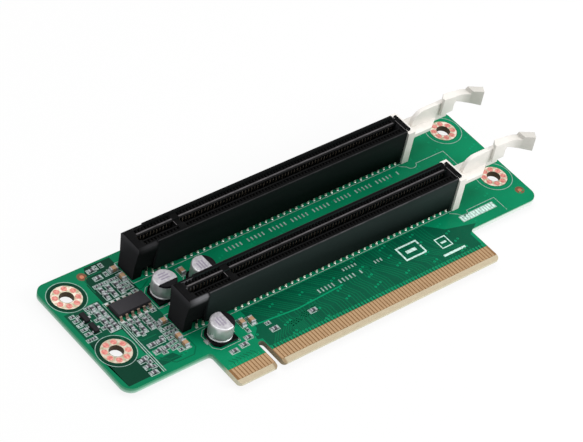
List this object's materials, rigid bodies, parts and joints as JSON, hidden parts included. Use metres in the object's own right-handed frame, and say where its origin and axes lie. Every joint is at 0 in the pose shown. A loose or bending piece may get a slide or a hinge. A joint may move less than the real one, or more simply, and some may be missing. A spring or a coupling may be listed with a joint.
{
  "type": "pcie riser card",
  "caption": "Flat riser card with a gold-fingered card edge that feeds parallel expansion slots, each with a white sideways retention clip; mounting holes near the corners.",
  "frame": {"origin": "middle of the key notch at the tip of the card edge, on the board's component face", "axes": "+X along the slots towards the retention clips, +Y from the card edge to the board's back edge, +Z out of the slots"},
  "size_m": [0.138, 0.0505, 0.0175],
  "materials": {
    "solder_mask": "glossy green solder mask",
    "gold_plating": "satin gold plating",
    "tinned_copper": "bright tinned copper",
    "black_moulding": "fine satin",
    "white_moulding": "semi-gloss",
    "contact_metal": "plated",
    "solder": "bright",
    "can_metal": "satin",
    "epoxy_body": "matte",
    "ceramic_body": "satin ceramic",
    "resistor_body": "satin"
  },
  "bodies": {
    "root": {"board": "solder_mask", "gold_fingers_top": "gold_plating", "gold_fingers_bottom": "gold_plating", "mounting_hole_rings": "tinned_copper", "slot_housing_front": "black_moulding", "slot_housing_back": "black_moulding", "slot_contacts_front": "contact_metal", "slot_contacts_back": "contact_metal", "retention_clip_front": "white_moulding", "retention_clip_back": "white_moulding", "capacitor_cans": "can_metal", "capacitor_bases": "black_moulding", "capacitor_leads": "solder", "chip_body": "epoxy_body", "chip_leads": "solder", "transistor_bodies": "epoxy_body", "transistor_leads": "solder", "ceramic_capacitor_bodies": "ceramic_body", "ceramic_capacitor_end_caps": "solder", "resistors": "resistor_body"}
  },
  "joints": []
}
